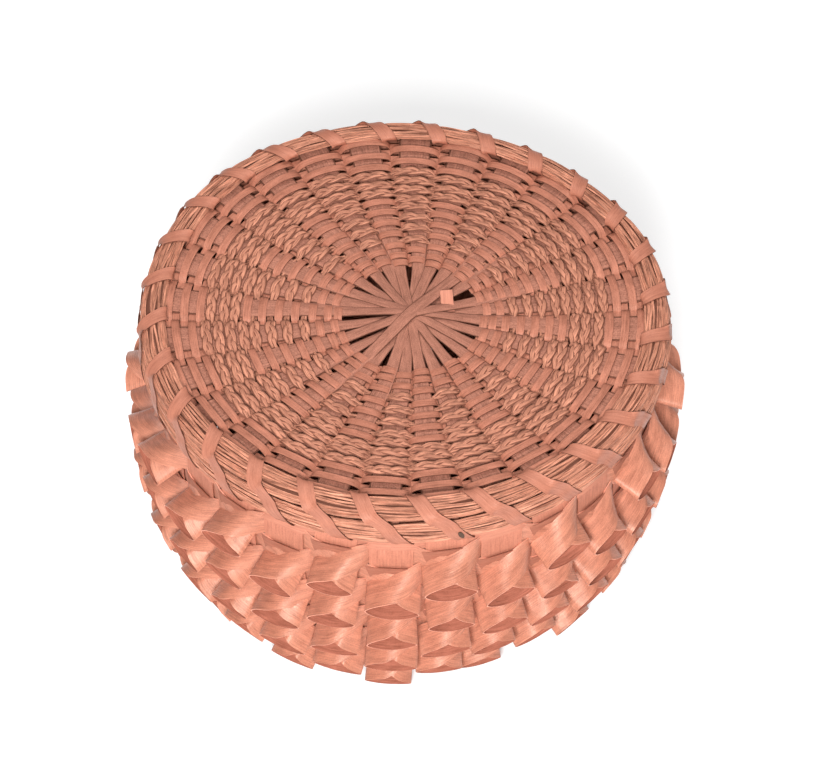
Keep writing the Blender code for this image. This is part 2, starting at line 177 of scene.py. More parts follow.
def fibre_material(
    name, light, dark, width, fibre, blotch, speckle, smooth, rough, depth, sheen=SHEEN,
):
    """A dyed plant fibre finish. Width is a fibre's width and depth its relief, in metres."""
    material = bpy.data.materials.new(name)
    material.use_nodes = True
    tree = material.node_tree
    shader = tree.nodes["Principled BSDF"]
    shader.inputs["Specular IOR Level"].default_value = sheen
    shader.inputs["Specular Tint"].default_value = SHEEN_TINT
    fibres = tree.nodes.new("ShaderNodeGroup")
    fibres.node_tree = splint_fibres
    for socket, value in (
        ("Light Colour", (*light, 1)),
        ("Dark Colour", (*dark, 1)),
        ("Fibre Width", width),
        ("Fibre Strength", fibre),
        ("Blotch Strength", blotch),
        ("Speckle Strength", speckle),
        ("Smooth Roughness", smooth),
        ("Rough Roughness", rough),
    ):
        fibres.inputs[socket].default_value = value
    relief = tree.nodes.new("ShaderNodeBump")
    relief.inputs["Strength"].default_value = 1
    relief.inputs["Distance"].default_value = depth
    tree.links.new(fibres.outputs["Colour"], shader.inputs["Base Color"])
    tree.links.new(fibres.outputs["Roughness"], shader.inputs["Roughness"])
    tree.links.new(fibres.outputs["Height"], relief.inputs["Height"])
    tree.links.new(relief.outputs["Normal"], shader.inputs["Normal"])
    return material


def polar(angle, radius, height):
    """Places at a direction and distance from the basket's axis, and a height."""
    angle, radius, height = np.broadcast_arrays(angle, radius, height)
    return np.stack((radius * np.cos(angle), radius * np.sin(angle), height), axis=-1)


def unit(vectors):
    return vectors / np.linalg.norm(vectors, axis=-1, keepdims=True)


def tangents(line, closed):
    if closed:
        return unit(np.roll(line, -1, axis=0) - np.roll(line, 1, axis=0))
    return unit(np.gradient(line, axis=0))


def laid_lengths(line, closed):
    """Length along the line at each station, from a start of its own in the wood."""
    rows = np.concatenate((line, line[:1])) if closed else line
    steps = np.linalg.norm(np.diff(rows, axis=0), axis=1)
    return rng.uniform(0, WOOD_REACH) + np.concatenate(([0], np.cumsum(steps)))


def with_seam(rows, closed):
    return np.concatenate((rows, rows[:1])) if closed else rows


FLAT_PLACES = (-1, -0.5, 0, 0.5, 1)


def ribbon(middles, halves, thickness, cup=0.0, closed=False, places=FLAT_PLACES, squared=True):
    """The (points, laid places) of a flat splint along its middles, with halves its half width.
    Its section is a flat loop that bulges by cup on its outer side, with its corners at places
    across. A squared one has its width turned square to its length."""
    along = tangents(middles, closed)
    sizes = np.linalg.norm(halves, axis=1, keepdims=True)
    square = halves
    if squared:
        square = unit(halves - along * np.sum(halves * along, axis=1, keepdims=True)) * sizes
    faces = unit(np.cross(square, along))
    spread = np.array((*places, *places[::-1], places[0]))
    side = np.repeat((1, -1, 1), (len(places), len(places), 1))
    rise = side * thickness / 2 + cup * (1 - spread ** 2)
    points = middles[:, None] + spread[:, None] * square[:, None]
    points = points + rise[:, None] * faces[:, None]
    lengths = laid_lengths(middles, closed)
    grain = rng.uniform(0, WOOD_REACH) + spread * sizes.mean() + (side < 0) * UNDERSIDE_SHIFT
    laid = np.stack(np.broadcast_arrays(lengths[:, None], grain[None]), axis=-1)
    return with_seam(points, closed), laid


def out_of_round(places):
    """Places on the basket as its upper edge really runs: drawn in and to one side behind."""
    upper = np.clip((places[:, 2] - WARP_LOW) / WARP_RISE, 0, 1)
    back = np.clip((places[:, 1] - WARP_START) / WARP_LENGTH, 0, 1)
    share = upper * back * back * (3 - 2 * back)
    return places - share[:, None] * np.array(WARP)


def lay(name, runs, body, nodes, material, crease=50, others=()):
    """One piece of the basket from runs of (points, laid places), each a grid that closes
    round its section. It rides on its body and replaces its nodes. Others are the
    (finish, first column, last column) of the sides that differ."""
    bm = bmesh.new()
    for points, _ in runs:
        rows, columns = points.shape[:2]
        bmesh.ops.create_grid(bm, x_segments=columns - 1, y_segments=rows - 1, size=1)
    mesh = bpy.data.meshes.new(name)
    bm.to_mesh(mesh)
    bm.free()
    places = np.concatenate([points.reshape(-1, 3) for points, _ in runs])
    mesh.vertices.foreach_set("co", out_of_round(places).ravel())
    corners = np.empty(len(mesh.loops), dtype=np.int32)
    mesh.loops.foreach_get("vertex_index", corners)
    laid = np.concatenate([laid.reshape(-1, 2) for _, laid in runs])
    mesh.uv_layers.new(name="laid").data.foreach_set("uv", laid[corners].ravel())
    mesh.materials.append(material)
    if others:
        columns = np.zeros(runs[0][0].shape[1] - 1, dtype=np.int32)
        for place, (finish, first, last) in enumerate(others):
            mesh.materials.append(finish)
            columns[first:last] = place + 1
        faces = [np.tile(columns, len(points) - 1) for points, _ in runs]
        mesh.polygons.foreach_set("material_index", np.concatenate(faces))
    bm = bmesh.new()
    bm.from_mesh(mesh)
    bmesh.ops.remove_doubles(bm, verts=bm.verts, dist=SEAM_DISTANCE)
    open_edges = [edge for edge in bm.edges if edge.is_boundary]
    bmesh.ops.holes_fill(bm, edges=open_edges)
    bmesh.ops.recalc_face_normals(bm, faces=bm.faces)
    bm.to_mesh(mesh)
    bm.free()
    mesh.shade_smooth()
    mesh.set_sharp_from_angle(angle=math.radians(crease))
    piece = bpy.data.objects.new(name, mesh)
    bpy.context.collection.objects.link(piece)
    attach(piece, body)
    if nodes:
        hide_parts(*nodes)


def eased(corners, bend):
    """Points every half millimetre along the corners, which are rounded over the bend's length."""
    corners = np.array(corners)
    lengths = np.concatenate(([0], np.cumsum(np.linalg.norm(np.diff(corners, axis=0), axis=1))))
    places = np.arange(0, lengths[-1] + EASE_STEP, EASE_STEP)
    line = np.stack([np.interp(places, lengths, column) for column in corners.T], axis=1)
    reach = int(bend / EASE_STEP / 2)
    before = 2 * line[0] - line[reach:0:-1]
    after = 2 * line[-1] - line[-2:-reach - 2:-1]
    weights = np.hanning(2 * reach + 3)[1:-1]
    whole = np.concatenate((before, line, after))
    columns = [np.convolve(column, weights / weights.sum(), "valid") for column in whole.T]
    return np.stack(columns, axis=1)


def even_angle(first, step):
    return first + TAU * np.asarray(step) / UPRIGHTS


def upright_angle(step):
    """Direction of an upright, or of a place between two. The front ones stand closer."""
    angle = even_angle(FIRST_UPRIGHT, step)
    return angle - FRONT_CROWDING * np.sin(angle + math.pi / 2)


def pitch_at(radius):
    return TAU * radius / UPRIGHTS


def layer_of(splint):
    """Place of a splint in the pile at the centre, the odd ones on top."""
    if splint % 2 == 0:
        return splint // 2
    return SPLINTS // 2 + (splint // 2 + PILE_SHIFT) % (SPLINTS // 2)


def crossing(
    splint, outline, first, angle_of, widths, plane, lift, thickness, cup, aside=(0, 0, 0), roll=0,
    places=FLAT_PLACES,
):
    """A splint through the centre: outline gives the (radius, height) of one arm, finely spaced,
    and lift the height of the splint's layer over it in the pile. Aside is how far it misses
    the centre and the angles that its two arms run off their lines, and roll tips it there."""
    arms = []
    beside = polar(even_angle(first, splint) + math.pi / 2, 1, 0)
    for side in (0, 1):
        step = splint + side * SPLINTS
        radius, height = outline.T
        settle = np.clip((radius - PILE_RADIUS) / (plane - PILE_RADIUS), 0, 1)
        settle = settle * settle * (3 - 2 * settle)
        even = even_angle(first, step)
        angle = even + (angle_of(step) - even) * settle
        ramp = np.clip((plane - radius) / (plane - PILE_FLAT), 0, 1)
        middles = polar(angle, radius, height + lift * ramp)
        off = aside[0] * np.maximum(1 - radius / (MISS_FADE * plane), 0)
        off = off + aside[side + 1] * radius * np.clip(ASIDE_FADE - radius / plane, 0, 1)
        middles = middles + off[:, None] * beside
        slant = widths / 2 * math.sin(roll) * (1 - settle)
        halves = polar(angle + math.pi / 2, widths / 2, 0) * (-1 if side else 1)
        halves[:, 2] = slant
        arms.append((middles, halves))
    (left, left_half), (right, right_half) = arms
    middles = np.concatenate((left[::-1], right[1:]))
    halves = np.concatenate((left_half[::-1], right_half[1:]))
    return ribbon(middles, halves, thickness, cup, places=places)


wall_corners = [(BASE_RADIUS, BASE_HEIGHT)]
for slope in WALL_SLOPES:
    last_radius, last_height = wall_corners[-1]
    lean = math.radians(slope)
    rise = ROW_PITCH * math.cos(lean)
    wall_corners.append((last_radius + ROW_PITCH * math.sin(lean), last_height + rise))
wall_radius, wall_top = wall_corners[-1]
rim_radius = wall_radius - NECK_INSET
neck_top = wall_top + NECK_RISE
arm_corners = [(0, BASE_HEIGHT)] + wall_corners
arm_corners += [(rim_radius, neck_top), (rim_radius, neck_top + RIM_RISE)]
arm_outline = eased(arm_corners, BEND_LENGTH)[::UPRIGHT_THINNING]

upright_ash = fibre_material(
    "upright_ash", (0.68, 0.265, 0.172), (0.42, 0.148, 0.094),
    width=0.0005, fibre=0.5, blotch=0.22, speckle=0.3, smooth=0.55, rough=0.75, depth=0.00012,
)
upright_widths = UPRIGHT_SHARE * pitch_at(np.maximum(arm_outline[:, 0], PLANE_RADIUS))
for splint in range(SPLINTS):
    run = crossing(
        splint, arm_outline, FIRST_UPRIGHT, upright_angle, upright_widths, PLANE_RADIUS,
        layer_of(splint) * PILE_STEP, UPRIGHT_THICKNESS, UPRIGHT_CUP,
    )
    node = f"body_splint_{splint + 1:02d}"
    lay(f"upright_splint_{splint + 1:02d}", [run], "basket", [node], upright_ash)

# Base weavers. Two narrow ash splints spiral out round the flat base, each under the splints that
# the other one passes over, and they are what the basket stands on.
BASE_TURNS = 2
BASE_ROW_GAP = 0.0007
BASE_LIFT = 0.00043
WEAVER_THICKNESS = 0.0003
ROW_STATIONS = 8
CHANGE_STEEPNESS = 2.2
base_row = (BASE_RADIUS - PLANE_RADIUS) / (2 * BASE_TURNS + 2)
plain_ash = fibre_material(
    "plain_ash", (0.66, 0.27, 0.178), (0.44, 0.16, 0.104),
    width=0.0005, fibre=0.5, blotch=0.2, speckle=0.15, smooth=0.45, rough=0.65, depth=0.0001,
)


def over_and_under(step, parity):
    """1 over the uprights of a parity and -1 under the others, with an eased change between."""
    phase = np.cos(math.pi * (np.asarray(step) - parity))
    return np.clip(CHANGE_STEEPNESS * phase, -1, 1)


for parity, letter in enumerate("ab"):
    steps = np.linspace(0, BASE_TURNS * UPRIGHTS, BASE_TURNS * UPRIGHTS * ROW_STATIONS + 1)
    radius = BASE_RADIUS - (parity + 0.5) * base_row - 2 * base_row * steps / UPRIGHTS
    height = BASE_HEIGHT + BASE_LIFT * over_and_under(steps, parity)
    angle = upright_angle(steps)
    halves = polar(angle, (base_row - BASE_ROW_GAP) / 2, 0)
    run = ribbon(polar(angle, radius, height), halves, WEAVER_THICKNESS)
    node = f"base_weaver_{letter}"
    lay(f"base_row_{letter}", [run], "basket", [node], plain_ash)

# Heel rows. Two plain rows of wide splint are woven round the turn from the base to the wall,
# in front of one upright and behind the next.
WIDE_GAP = 0.0004
WIDE_THICKNESS = 0.0004
WIDE_CLEARANCE = 0.0003
HEEL_TRIM = 0.0009
CURL_ROWS = 8
wall_line = eased([(0, BASE_HEIGHT)] + wall_corners + [(rim_radius, neck_top)], BEND_LENGTH)
wall_lean = np.gradient(wall_line, axis=0)


def row_place(row):
    """(radius, height, slope) at the middle of a row, counted down from the lid."""
    place = int((BASE_RADIUS + (len(WALL_SLOPES) - 0.5 - row) * ROW_PITCH) / EASE_STEP)
    radius, height = wall_line[place]
    return radius, height, math.atan2(*wall_lean[place])


def on_wall(row, step, up, out):
    """Places on a row of the wall, at steps round it, up along its slope and out from it, with
    the direction up there."""
    radius, height, slope = row_place(row)
    angle = upright_angle(step)
    upward = polar(angle, math.sin(slope), math.cos(slope))
    outward = polar(angle, math.cos(slope), -math.sin(slope))
    up, out = np.broadcast_arrays(up, out, np.asarray(step))[:2]
    places = polar(angle, radius, height) + up[:, None] * upward + out[:, None] * outward
    return places, upward


# How far the middle of a wide splint stands off the wall's line beside an upright.
strip_out = (UPRIGHT_THICKNESS + WIDE_THICKNESS) / 2 + WIDE_CLEARANCE + UPRIGHT_CUP


def wide_row(row, parity, width, up=0):
    """A closed plain row of wide splint, in front of the uprights of a parity."""
    steps = np.linspace(0, UPRIGHTS, UPRIGHTS * ROW_STATIONS, endpoint=False)
    middles, upward = on_wall(row, steps, up, strip_out * over_and_under(steps, parity))
    return ribbon(middles, upward * width / 2, WIDE_THICKNESS, closed=True)


for place in range(2):
    row = CURL_ROWS + place
    run = wide_row(row, (row + 1) % 2, ROW_PITCH - WIDE_GAP - HEEL_TRIM, HEEL_TRIM / 2)
    node = f"heel_row_{place + 1}"
    lay(f"heel_splint_{place + 1}", [run], "basket", [node], plain_ash)

# Wall rows. Eight plain rows of wide splint are woven round the wall, in front of one upright
# and behind the next, like the heel rows but as wide as the splint is.
# Painted shade: the wall rows are a darker copy of the plain ash, for the shade that they lie in behind the
# curls.
shaded_wall_ash = fibre_material(
    "shaded_wall_ash", (0.50, 0.188, 0.12), (0.28, 0.097, 0.062),
    width=0.0005, fibre=0.5, blotch=0.3, speckle=0.15, smooth=0.5, rough=0.7, depth=0.0001,
)
for row in range(CURL_ROWS):
    run = wide_row(row, (row + 1) % 2, ROW_PITCH - WIDE_GAP)
    lay(f"wall_splint_{row + 1}", [run], "basket", [f"curl_row_{row + 1}"], shaded_wall_ash)

# Curls. Over each plain row goes a second wide splint, scraped smooth until it shines. It passes
# behind the same uprights, and over each upright between it is rolled once round, out and down,
# into an open pointed loop that faces the ground.
CURL_WIDTH = 0.0112
CURL_LAYER = 0.00045
CURL_FOOT = 0.0006
CURL_SMOOTHNESS = 3
curl_ash = fibre_material(
    "curl_ash", (0.755, 0.308, 0.198), (0.34, 0.121, 0.075),
    width=0.00034, fibre=0.55, blotch=0.36, speckle=0.25, smooth=0.28, rough=0.46, depth=0.00008,
    sheen=0.5,
)
# The inner face of each curl is the splint's own rougher, duller side. Its darker colour is painted shade for
# the inside of the loop.
curl_inside_shade = fibre_material(
    "curl_inside_shade", (0.53, 0.178, 0.115), (0.25, 0.075, 0.045),
    width=0.0005, fibre=0.7, blotch=0.4, speckle=0.2, smooth=0.7, rough=0.85, depth=0.00015,
    sheen=0.2,
)
# Painted highlight: a lighter colour on the curls' thin edges, which draws the light line along each lip.
curl_lip_highlight = fibre_material(
    "curl_lip_highlight", (0.90, 0.42, 0.30), (0.75, 0.30, 0.20),
    width=0.0004, fibre=0.3, blotch=0.2, speckle=0.1, smooth=0.5, rough=0.7, depth=0.00003,
)
shader = curl_ash.node_tree.nodes["Principled BSDF"]
shader.inputs["Anisotropic"].default_value = 0.6
shader.inputs["Anisotropic Rotation"].default_value = 0.25
fibre_way = curl_ash.node_tree.nodes.new("ShaderNodeTangent")
fibre_way.direction_type = "UV_MAP"
fibre_way.uv_map = "laid"
curl_ash.node_tree.links.new(fibre_way.outputs["Tangent"], shader.inputs["Tangent"])

# Places along one curl, in millimetres, of the splint's inner and outer edge: across to the
# right, up along the wall from the row's middle, and out from the wall.
CURL_EDGES = (
    ((10.8, 7.4, 0.6), (10.6, -3.2, 2.6)),
    ((6.6, 5.3, 0.8), (5.8, -2.6, 8.4)),
    ((2.6, 3.0, 1.0), (1.8, -2.2, 11.0)),
    ((-1.0, 0.9, 1.2), (-1.4, -2.7, 11.8)),
    ((-5.0, -1.9, 1.4), (-5.0, -4.4, 11.9)),
    ((-8.4, -3.6, 1.5), (-7.9, -6.6, 11.9)),
    ((-9.7, -5.2, 1.5), (-9.0, -8.3, 11.9)),
    ((-8.3, -6.7, 1.5), (-7.6, -10.0, 11.8)),
    ((-4.2, -7.6, 1.6), (-3.8, -11.9, 11.6)),
    ((0.4, -8.0, 1.8), (0.4, -12.6, 11.5)),
    ((5.2, -7.0, 2.1), (4.8, -11.9, 11.5)),
    ((9.0, -5.2, 2.6), (8.0, -10.3, 11.7)),
    ((10.6, -3.6, 2.8), (9.5, -8.8, 11.8)),
    ((9.2, -2.0, 2.8), (8.0, -7.2, 11.8)),
    ((6.0, 0.0, 2.0), (4.6, -4.9, 11.7)),
    ((3.0, 1.8, 1.2), (1.6, -3.4, 10.6)),
    ((0.0, 1.9, 0.8), (-1.4, -6.6, 7.4)),
    ((-3.4, 3.6, 0.6), (-4.0, -7.2, 2.6)),
    ((-8.2, 5.2, 0.5), (-8.4, -5.6, 0.9)),
)
MM_IN_A_METRE = 1000

# More sizes of the curls in millimetres, on the same lines.
CURL_MIDDLE = Vector((0, -7))
CURL_BEHIND = 13.6
BEHIND_HALF = 5.5
CURL_RISE = 0.6
TOP_CURL_RISE = 2.0
CURL_DEPTH = 12
CURL_REACH = 95.2
LOW_GROWTH = 3.0
LEFT_GROWTH = 2.4
RIGHT_LOSS = 4.0
RIGHT_LEAN = 4.5
CURL_SHIFT = 0.7

# Directions where the curls differ, how far that spreads, and how freely a curl varies.
LEFT_ANGLE = 3.6
RIGHT_ANGLE = -1.12
RIGHT_SPREAD = 0.28
LEAN_ANGLE = -1.2
LEAN_SPREAD = 0.45
LOW_POWER = 1.5
SWING_DEGREES = 9
CURL_SIZES = (0.85, 1.02)
CURL_ENDS = 3


def threaded(stations, pieces):
    """A smooth closed line through stations whose first three numbers are a place, by a
    centripetal Catmull-Rom spline."""
    before, here, there, after = (np.roll(stations, shift, axis=0) for shift in (1, 0, -1, -2))

    def knot(first, second):
        return np.linalg.norm(second[:, :3] - first[:, :3], axis=1)[:, None] ** 0.5

    first, middle, last = knot(before, here), knot(here, there), knot(there, after)
    leave = (here - before) / first - (there - before) / (first + middle)
    leave = (leave + (there - here) / middle) * middle
    enter = (there - here) / middle - (after - here) / (middle + last)
    enter = (enter + (after - there) / last) * middle
    line = []
    for share in np.linspace(0, 1, pieces, endpoint=False):
        square, cube = share ** 2, share ** 3
        line.append(
            (2 * cube - 3 * square + 1) * here + (cube - 2 * square + share) * leave
            + (3 * square - 2 * cube) * there + (cube - square) * enter
        )
    return np.stack(line, axis=1).reshape(-1, stations.shape[1])


def lower_share(row):
    """0 in the top row of curls, and up to 1 in the lowest."""
    return (row / (CURL_ROWS - 1)) ** LOW_POWER


def curl_growth(row, angle):
    """How much further the lower curls stand out, in millimetres: most at the left, where the
    body bulges, and least at the right of the front."""
    bulge = math.sin(math.pi * (row + 0.5) / CURL_ROWS)
    left = LEFT_GROWTH * bulge * max(math.cos(angle - LEFT_ANGLE), 0)
    right = RIGHT_LOSS * lower_share(row) * math.exp(-((angle - RIGHT_ANGLE) / RIGHT_SPREAD) ** 2)
    return LOW_GROWTH * lower_share(row) + left - right


def curl_lean(row, angle):
    """How far to the left the lower curls at the right of the front were pushed, in millimetres."""
    return RIGHT_LEAN * lower_share(row) * math.exp(-((angle - LEAN_ANGLE) / LEAN_SPREAD) ** 2)


def curl_edges(row, step):
    """The edges along one curl over the upright at a step, with a turn, size and lean of its own.
    They come free of the wall over a few places at either end."""
    angle = math.remainder(upright_angle(step), TAU)
    growth = min(curl_growth(row, angle), CURL_REACH - row_place(row)[0] * MM_IN_A_METRE)
    swing = math.radians(rng.uniform(-SWING_DEGREES, SWING_DEGREES))
    size = rng.uniform(*CURL_SIZES)
    shift = rng.uniform(-CURL_SHIFT, CURL_SHIFT) - curl_lean(row, angle)
    edges = []
    for place, pair in enumerate(CURL_EDGES):
        free = min(place, len(CURL_EDGES) - 1 - place, CURL_ENDS) / CURL_ENDS
        turned = []
        for across, up, out in pair:
            away = Vector((across, up)) - CURL_MIDDLE
            away.rotate(Matrix.Rotation(swing * free, 2))
            away = away * (1 + (size - 1) * free) + CURL_MIDDLE
            turned.append((away.x + shift * free, away.y, out * (1 + growth * free / CURL_DEPTH)))
        edges.append(turned)
    return edges


# The curls' inner faces take the painted shade, and their two thin edges the painted highlight.
curl_shade_and_highlight = ((curl_inside_shade, 0, 4), (curl_lip_highlight, 4, 5), (curl_lip_highlight, 9, 10))
behind = (CURL_LAYER - strip_out) * MM_IN_A_METRE
for row in range(CURL_ROWS):
    pitch = pitch_at(row_place(row)[0])
    rise = TOP_CURL_RISE if row == 0 else CURL_RISE
    before, after = (
        [(side * CURL_BEHIND, rise + half, behind) for half in (BEHIND_HALF, -BEHIND_HALF)]
        for side in (1, -1)
    )
    stations = []
    for curl in range(SPLINTS):
        step = (row + 1) % 2 - 2 * curl
        for edges in (before, *curl_edges(row, step), after):
            steps = [step + edge[0] / MM_IN_A_METRE / pitch for edge in edges]
            up, out = np.array([edge[1:] for edge in edges]).T / MM_IN_A_METRE
            inner, outer = on_wall(row, steps, up, out)[0]
            inner[2], outer[2] = max(inner[2], CURL_FOOT), max(outer[2], CURL_FOOT)
            away = unit(outer - inner) * CURL_WIDTH / 2
            stations.append(np.concatenate((outer - away, away)))
    line = threaded(np.array(stations), CURL_SMOOTHNESS)
    halves = unit(line[:, 3:]) * CURL_WIDTH / 2
    run = ribbon(line[:, :3], halves, WIDE_THICKNESS, closed=True, squared=False)
    node = f"curl_row_{row + 1}"
    lay(f"curls_{row + 1}", [run], "basket", [node], curl_ash, others=curl_shade_and_highlight)

# Rim of the body. A plain row closes the neck, where the uprights lean in. Two ash hoops hold
# their ends, and a narrow splint is wound over all three, once in each gap. The rim stands
# inside the lid's edge.
NECK_ROW = -0.98
NECK_ROW_WIDTH = 0.0086
HOOP_THICKNESS = 0.0009
HOOP_HEIGHT = 0.0074
HOOP_CLEARANCE = 0.0006
RIM_LASH_WIDTH = 0.0042
LASH_THICKNESS = 0.0003
LASH_CLEARANCE = 0.0003
RIM_LASH_SMOOTHNESS = 4
HOOP_STATIONS = 168
hoop_foot = neck_top + RIM_RISE - HOOP_HEIGHT


def hoop_run(inner, thickness, low, height):
    """A flat hoop on its edge, its inner face at a radius."""
    angle = np.linspace(0, TAU, HOOP_STATIONS, endpoint=False)
    middles = polar(angle, inner + thickness / 2, low + height / 2)
    return ribbon(middles, polar(angle, 0, height / 2), thickness, closed=True)


run = wide_row(NECK_ROW, 0, NECK_ROW_WIDTH)
lay("neck_splint", [run], "basket", [], plain_ash)

away = UPRIGHT_THICKNESS / 2 + HOOP_CLEARANCE
for name, inner in (
    ("outer", rim_radius + away),
    ("inner", rim_radius - away - HOOP_THICKNESS),
):
    run = hoop_run(inner, HOOP_THICKNESS, hoop_foot, HOOP_HEIGHT)
    lay(f"rim_{name}_ring", [run], "basket", [f"rim_{name}_hoop"], plain_ash)


def wound(wrap, angle_of, width, pieces, thickness):
    """A narrow splint wound round a rim, once for each gap between uprights. wrap lists the
    (lean in pitches, radius, height) of one turn."""
    stations = []
    for gap in range(UPRIGHTS):
        for lean, radius, height in wrap:
            stations.append((*polar(angle_of(gap + 0.5 + lean), radius, height), 0, 0, 0))
    middles = threaded(np.array(stations), pieces)[:, :3]
    angle = np.arctan2(middles[:, 1], middles[:, 0])
    return ribbon(middles, polar(angle + math.pi / 2, width / 2, 0), thickness, closed=True)


reach = away + HOOP_THICKNESS + LASH_CLEARANCE + LASH_THICKNESS / 2
spare = LASH_CLEARANCE + LASH_THICKNESS / 2
rim_wrap = (
    (0.00, rim_radius + reach, hoop_foot - spare / 2),
    (0.20, rim_radius + reach, hoop_foot + HOOP_HEIGHT / 2),
    (0.45, rim_radius + reach, hoop_foot + HOOP_HEIGHT),
    (0.50, rim_radius, hoop_foot + HOOP_HEIGHT + spare),
    (0.55, rim_radius - reach, hoop_foot + HOOP_HEIGHT),
    (0.75, rim_radius - reach, hoop_foot + HOOP_HEIGHT / 2),
    (0.95, rim_radius - reach, hoop_foot - spare / 2),
)
run = wound(rim_wrap, upright_angle, RIM_LASH_WIDTH, RIM_LASH_SMOOTHNESS, LASH_THICKNESS)
lay("rim_binding", [run], "basket", ["rim_lashing"], curl_ash)

# Lid splints. Fourteen splints of their own cross in a pile at the middle of the lid, run out as
# twenty-eight spokes in a shallow dish, and are bent down at its edge.
LID_FIRST = math.radians(7.9)
LID_ARM_WIDTHS = (
    (0, 0.0040), (0.010, 0.0037), (0.020, 0.0041), (0.028, 0.0052), (0.045, 0.0078),
    (0.065, 0.0101), (0.083, 0.0120), (0.105, 0.0140),
)
LID_ARM_ASIDE = {1: -0.05, 2: 0.08, 3: 0.05, 17: -0.05}
LID_ASIDE_REACH = 0.035
LID_MISS_REACH = 0.0008
LID_ROLL_REACH = 0.25
LID_MIDDLE_SHARES = (0.82, 1.12)
LID_MIDDLE_FADE = 1.6
LID_MIDDLE_RADIUS = 0.018
TOP_SPLINT = 3
TOP_MIDDLE_SHARE = 1.3
LID_PLANE_HEIGHT = 0.0123
LID_DISH = 0.0045
LID_BEND = 0.003
LID_BEND_LENGTH = 0.003
LID_CORNERS = 30
LID_THINNING = 3
LID_FOOT = 0.0006
LID_PLANE_RADIUS = 0.0255
LID_PILE_STEP = 0.00030
LID_SPLINT_THICKNESS = 0.00028
OFF_CENTRE = np.array((0.0024, 0.0016, 0))
OFF_CENTRE_RADIUS = 0.06
OFF_CENTRE_FADE = 1.8
LID_CUP = 0.0004
LID_SEAT = 0.008
LID_FIT = 0.0001
lid_foot = wall_top + LID_SEAT
lid_radius = wall_radius + LID_FIT
lid_edge = lid_radius - LID_BEND
lid_splint_ash = fibre_material(
    "lid_splint_ash", (0.54, 0.224, 0.151), (0.22, 0.086, 0.057),
    width=0.0004, fibre=0.45, blotch=0.4, speckle=0.5, smooth=0.6, rough=0.8, depth=0.00015,
)
# Painted shade: this near-black finish goes on the thin edges of the lid's spokes, rows and lashing, and on
# the narrow outer strips of the spokes (from -1 to -0.9 and from 0.9 to 1 across). It draws the shadow lines
# along their edges.
painted_edge_shade = fibre_material(
    "painted_edge_shade", (0.20, 0.075, 0.048), (0.09, 0.033, 0.02),
    width=0.0002, fibre=0.4, blotch=0.4, speckle=0.3, smooth=0.7, rough=0.9, depth=0.00005,
)
EDGED_PLACES = (-1, -0.9, -0.4, 0, 0.4, 0.9, 1)
spoke_shaded_edges = ((painted_edge_shade, 0, 1), (painted_edge_shade, 5, 7), (painted_edge_shade, 13, 14))


def spoke_angle(step):
    return even_angle(LID_FIRST, step)


def lid_height(radius):
    """Height of the middle of the lid's spokes."""
    return lid_foot + LID_PLANE_HEIGHT - LID_DISH * (1 - (radius / lid_edge) ** 2)


spoke_corners = [(radius, lid_height(radius)) for radius in np.linspace(0, lid_edge, LID_CORNERS)]
spoke_corners += [(lid_radius, lid_foot + LID_PLANE_HEIGHT - LID_BEND)]
spoke_corners += [(lid_radius, lid_foot + LID_FOOT)]
spoke_outline = eased(spoke_corners, LID_BEND_LENGTH)[::LID_THINNING]
arm_widths = np.interp(spoke_outline[:, 0], *zip(*LID_ARM_WIDTHS))


def off_centre(points):
    """Places on the lid as it was woven: its middle lies a little to the right and behind."""
    radius = np.hypot(points[..., 0], points[..., 1])
    share = np.clip(OFF_CENTRE_FADE * (1 - radius / OFF_CENTRE_RADIUS), 0, 1)
    return points + share[..., None] * OFF_CENTRE


for splint in range(SPLINTS):
    middle_share = TOP_MIDDLE_SHARE if splint == TOP_SPLINT else rng.uniform(*LID_MIDDLE_SHARES)
    near = np.clip(LID_MIDDLE_FADE - spoke_outline[:, 0] / LID_MIDDLE_RADIUS, 0, 1)
    widths = arm_widths * (1 + (middle_share - 1) * near)
    aside = []
    for arm in (splint, splint + SPLINTS):
        chance = rng.uniform(-LID_ASIDE_REACH, LID_ASIDE_REACH)
        aside.append(LID_ARM_ASIDE.get(arm, chance))
    aside.insert(0, rng.uniform(-LID_MISS_REACH, LID_MISS_REACH))
    roll = rng.uniform(-LID_ROLL_REACH, LID_ROLL_REACH)
    points, laid = crossing(
        splint, spoke_outline, LID_FIRST, spoke_angle, widths, LID_PLANE_RADIUS,
        layer_of(splint) * LID_PILE_STEP, LID_SPLINT_THICKNESS, LID_CUP, aside, roll, EDGED_PLACES,
    )
    run = (off_centre(points), laid)
    node = f"lid_splint_{splint + 1:02d}"
    name = f"lid_spokes_{splint + 1:02d}"
    lay(name, [run], "lid", [node], lid_splint_ash, others=spoke_shaded_edges)

# Rows of the lid. Narrow ash splints and three-strand sweetgrass braids are woven round the
# spokes in closed rings, those of one group over the odd spokes and of the other over the even
# ones. The outer ash rows are pushed up in a bow over each spoke.
LID_ROW_SCALE = 0.0934
ASH_ROW_WIDTH = 0.0030
ASH_ROW_NARROW = 0.0029
ASH_ROW_THICKNESS = 0.00035
UNDER_DEPTH = 0.0006
BOW_REACH = 0.5
BOW_ROUND = 0.45
BOW_STEEPNESS = 10
GAP_SHARE = 0.12
BOW_SHARES = (0.8, 1.1)
RING_STATIONS = 20
BRAID_CYCLE = 0.020
BRAID_STATION = 0.0008
BRAID_SIDES = 8
BRAID_SWAY = 0.00106
BRAID_WEAVE = 0.00044
BRAID_WIDE = 0.00112
BRAID_TALL = 0.00050
BRAID_SQUEEZE = 0.62
BRAID_REST = 0.0002
lid_weaver_ash = fibre_material(
    "lid_weaver_ash", (0.57, 0.217, 0.139), (0.26, 0.092, 0.056),
    width=0.0005, fibre=0.5, blotch=0.4, speckle=0.3, smooth=0.42, rough=0.62, depth=0.0001,
)
